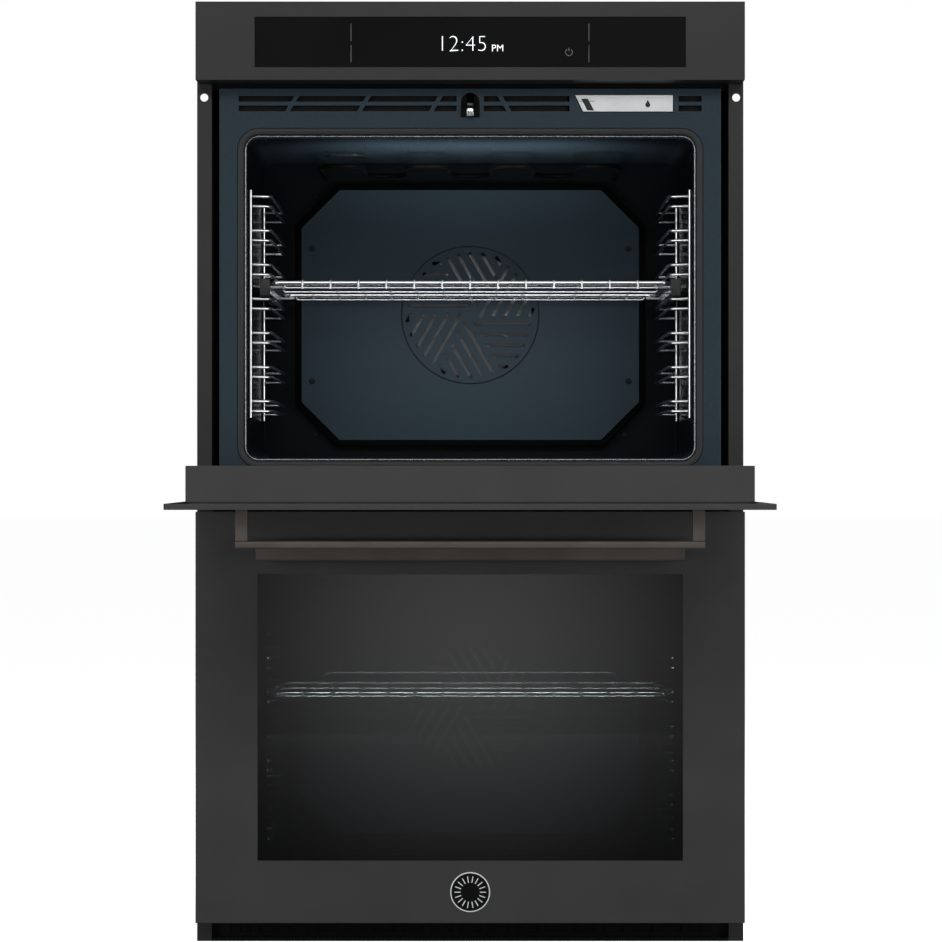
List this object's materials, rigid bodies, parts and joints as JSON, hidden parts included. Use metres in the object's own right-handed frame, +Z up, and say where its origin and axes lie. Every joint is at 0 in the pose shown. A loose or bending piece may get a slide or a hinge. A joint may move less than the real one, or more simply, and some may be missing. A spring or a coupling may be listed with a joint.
{
  "type": "double wall oven",
  "caption": "Built-in double wall oven with two drop-down glass doors, a display panel, convection fans, a pull-out rack and a water tank.",
  "frame": {"origin": "centre of the casing's base, on the face it stands on", "axes": "+X to the right of a person facing the oven, +Y from the doors towards the wall, +Z up"},
  "size_m": [0.76, 1.1614, 1.3],
  "materials": {
    "carbon_paint": "satin dark grey paint on steel",
    "galvanised_steel": "matt zinc-coated steel",
    "black_paint": "matt black paint",
    "black_plastic": "matt black heat-proof plastic",
    "display_glass": "black-backed gloss glass",
    "circuit_board": "solder mask",
    "cavity_enamel": "gloss vitreous enamel on steel, dark blue-grey with fine specks",
    "mineral_wool": "unwoven mineral wool",
    "gasket_rubber": "black woven glass and silicone seal",
    "heater_steel": "oxidised heating tube",
    "chrome_wire": "polished chrome plate",
    "lamp_glass": "frosted glass",
    "door_glass": "tinted gloss glass",
    "clear_glass": "clear heat-reflecting glass",
    "handle_paint": "satin brown-grey coated aluminium",
    "tank_plastic": "white moulded plastic"
  },
  "bodies": {
    "chassis": {"side_panel_left": "carbon_paint", "side_panel_right": "carbon_paint", "top_panel": "galvanised_steel", "base_pan": "galvanised_steel", "back_panel": "galvanised_steel", "mid_divider": "galvanised_steel", "bottom_grille": "black_paint", "control_fascia": "carbon_paint", "display_glass": "display_glass", "control_board": "circuit_board", "control_deck": "galvanised_steel", "terminal_box": "black_plastic", "conduit_fitting": "galvanised_steel", "upper_front_frame": "cavity_enamel", "lower_front_frame": "cavity_enamel", "upper_cavity": "cavity_enamel", "lower_cavity": "cavity_enamel", "insulation": "mineral_wool", "upper_gasket": "gasket_rubber", "lower_gasket": "gasket_rubber", "upper_baffle": "cavity_enamel", "lower_baffle": "cavity_enamel", "ring_elements": "heater_steel", "grill_elements": "heater_steel", "bake_elements": "heater_steel", "fan_motors": "galvanised_steel", "upper_side_racks": "chrome_wire", "lower_side_racks": "chrome_wire", "rail_brackets": "black_paint", "latch_housings": "galvanised_steel", "blower_housing": "galvanised_steel", "steam_generator": "galvanised_steel", "tank_guide": "black_plastic", "cavity_lamps": "lamp_glass", "hinge_arms": "galvanised_steel", "panel_screws": "galvanised_steel"},
    "upper_door": {"upper_door_skin": "carbon_paint", "upper_door_box": "carbon_paint", "upper_door_glass": "door_glass", "upper_inner_panes": "clear_glass", "upper_handle": "handle_paint", "upper_hinge_cases": "galvanised_steel"},
    "lower_door": {"lower_door_skin": "carbon_paint", "lower_door_box": "carbon_paint", "lower_door_glass": "door_glass", "lower_inner_panes": "clear_glass", "lower_handle": "handle_paint", "lower_hinge_cases": "galvanised_steel", "badge": "chrome_wire"},
    "upper_rods": {"upper_spring_rods": "galvanised_steel"},
    "lower_rods": {"lower_spring_rods": "galvanised_steel"},
    "upper_convection_fan": {"upper_fan": "galvanised_steel"},
    "lower_convection_fan": {"lower_fan": "galvanised_steel"},
    "cooling_wheel": {"blower_wheel": "black_plastic"},
    "upper_shelf": {"upper_rack": "chrome_wire"},
    "shelf_rails": {"rail_slides": "galvanised_steel"},
    "lower_shelf": {"lower_rack": "chrome_wire"},
    "upper_latch": {"upper_latch_hook": "chrome_wire"},
    "lower_latch": {"lower_latch_hook": "chrome_wire"},
    "tank": {"water_tank": "tank_plastic"}
  },
  "joints": [
    {"name": "upper_door_hinge", "type": "hinge", "parent": "chassis", "child": "upper_door", "pos_m": [0, -0.317, 0.636], "axis": [1, 0, 0], "range_deg": [-90, 0], "stiffness_Nm_per_rad": 10, "springref_deg": -107.14},
    {"name": "lower_door_hinge", "type": "hinge", "parent": "chassis", "child": "lower_door", "pos_m": [0, -0.317, 0.046], "axis": [1, 0, 0], "range_deg": [0, 90], "stiffness_Nm_per_rad": 10, "springref_deg": -17.19},
    {"name": "upper_rods_slide", "type": "slide", "parent": "upper_door", "child": "upper_rods", "axis": [0, -1, 0], "range_m": [0, 0.018]},
    {"name": "lower_rods_slide", "type": "slide", "parent": "lower_door", "child": "lower_rods", "axis": [0, 0, 1], "range_m": [-0.018, 0]},
    {"name": "upper_fan_spin", "type": "hinge", "parent": "chassis", "child": "upper_convection_fan", "pos_m": [0, 0.12, 0.888], "axis": [0, 1, 0], "continuous": true},
    {"name": "lower_fan_spin", "type": "hinge", "parent": "chassis", "child": "lower_convection_fan", "pos_m": [0, 0.12, 0.298], "axis": [0, 1, 0], "continuous": true},
    {"name": "cooling_wheel_spin", "type": "hinge", "parent": "chassis", "child": "cooling_wheel", "pos_m": [0, 0.12, 1.21], "axis": [0, 0, 1], "continuous": true},
    {"name": "upper_rack_slide", "type": "slide", "parent": "chassis", "child": "upper_shelf", "axis": [0, -1, 0], "range_m": [0, 0.33]},
    {"name": "rail_slide", "type": "slide", "parent": "chassis", "child": "shelf_rails", "axis": [0, -1, 0], "range_m": [0, 0.166]},
    {"name": "lower_rack_slide", "type": "slide", "parent": "chassis", "child": "lower_shelf", "axis": [0, -1, 0], "range_m": [0, 0.02]},
    {"name": "upper_latch_turn", "type": "hinge", "parent": "chassis", "child": "upper_latch", "pos_m": [0, -0.268, 1.163], "axis": [1, 0, 0], "range_deg": [0, 20]},
    {"name": "lower_latch_turn", "type": "hinge", "parent": "chassis", "child": "lower_latch", "pos_m": [0, -0.268, 0.573], "axis": [1, 0, 0], "range_deg": [0, 20]},
    {"name": "water_tank_slide", "type": "slide", "parent": "chassis", "child": "tank", "axis": [0, -1, 0], "range_m": [0, 0.2]}
  ],
  "couplings": [
    {"joint": "upper_rods_slide", "follows": "upper_door_hinge", "m_per_rad": -0.0114},
    {"joint": "lower_rods_slide", "follows": "lower_door_hinge", "m_per_rad": -0.0114},
    {"joint": "rail_slide", "follows": "upper_rack_slide", "ratio": 0.5}
  ]
}
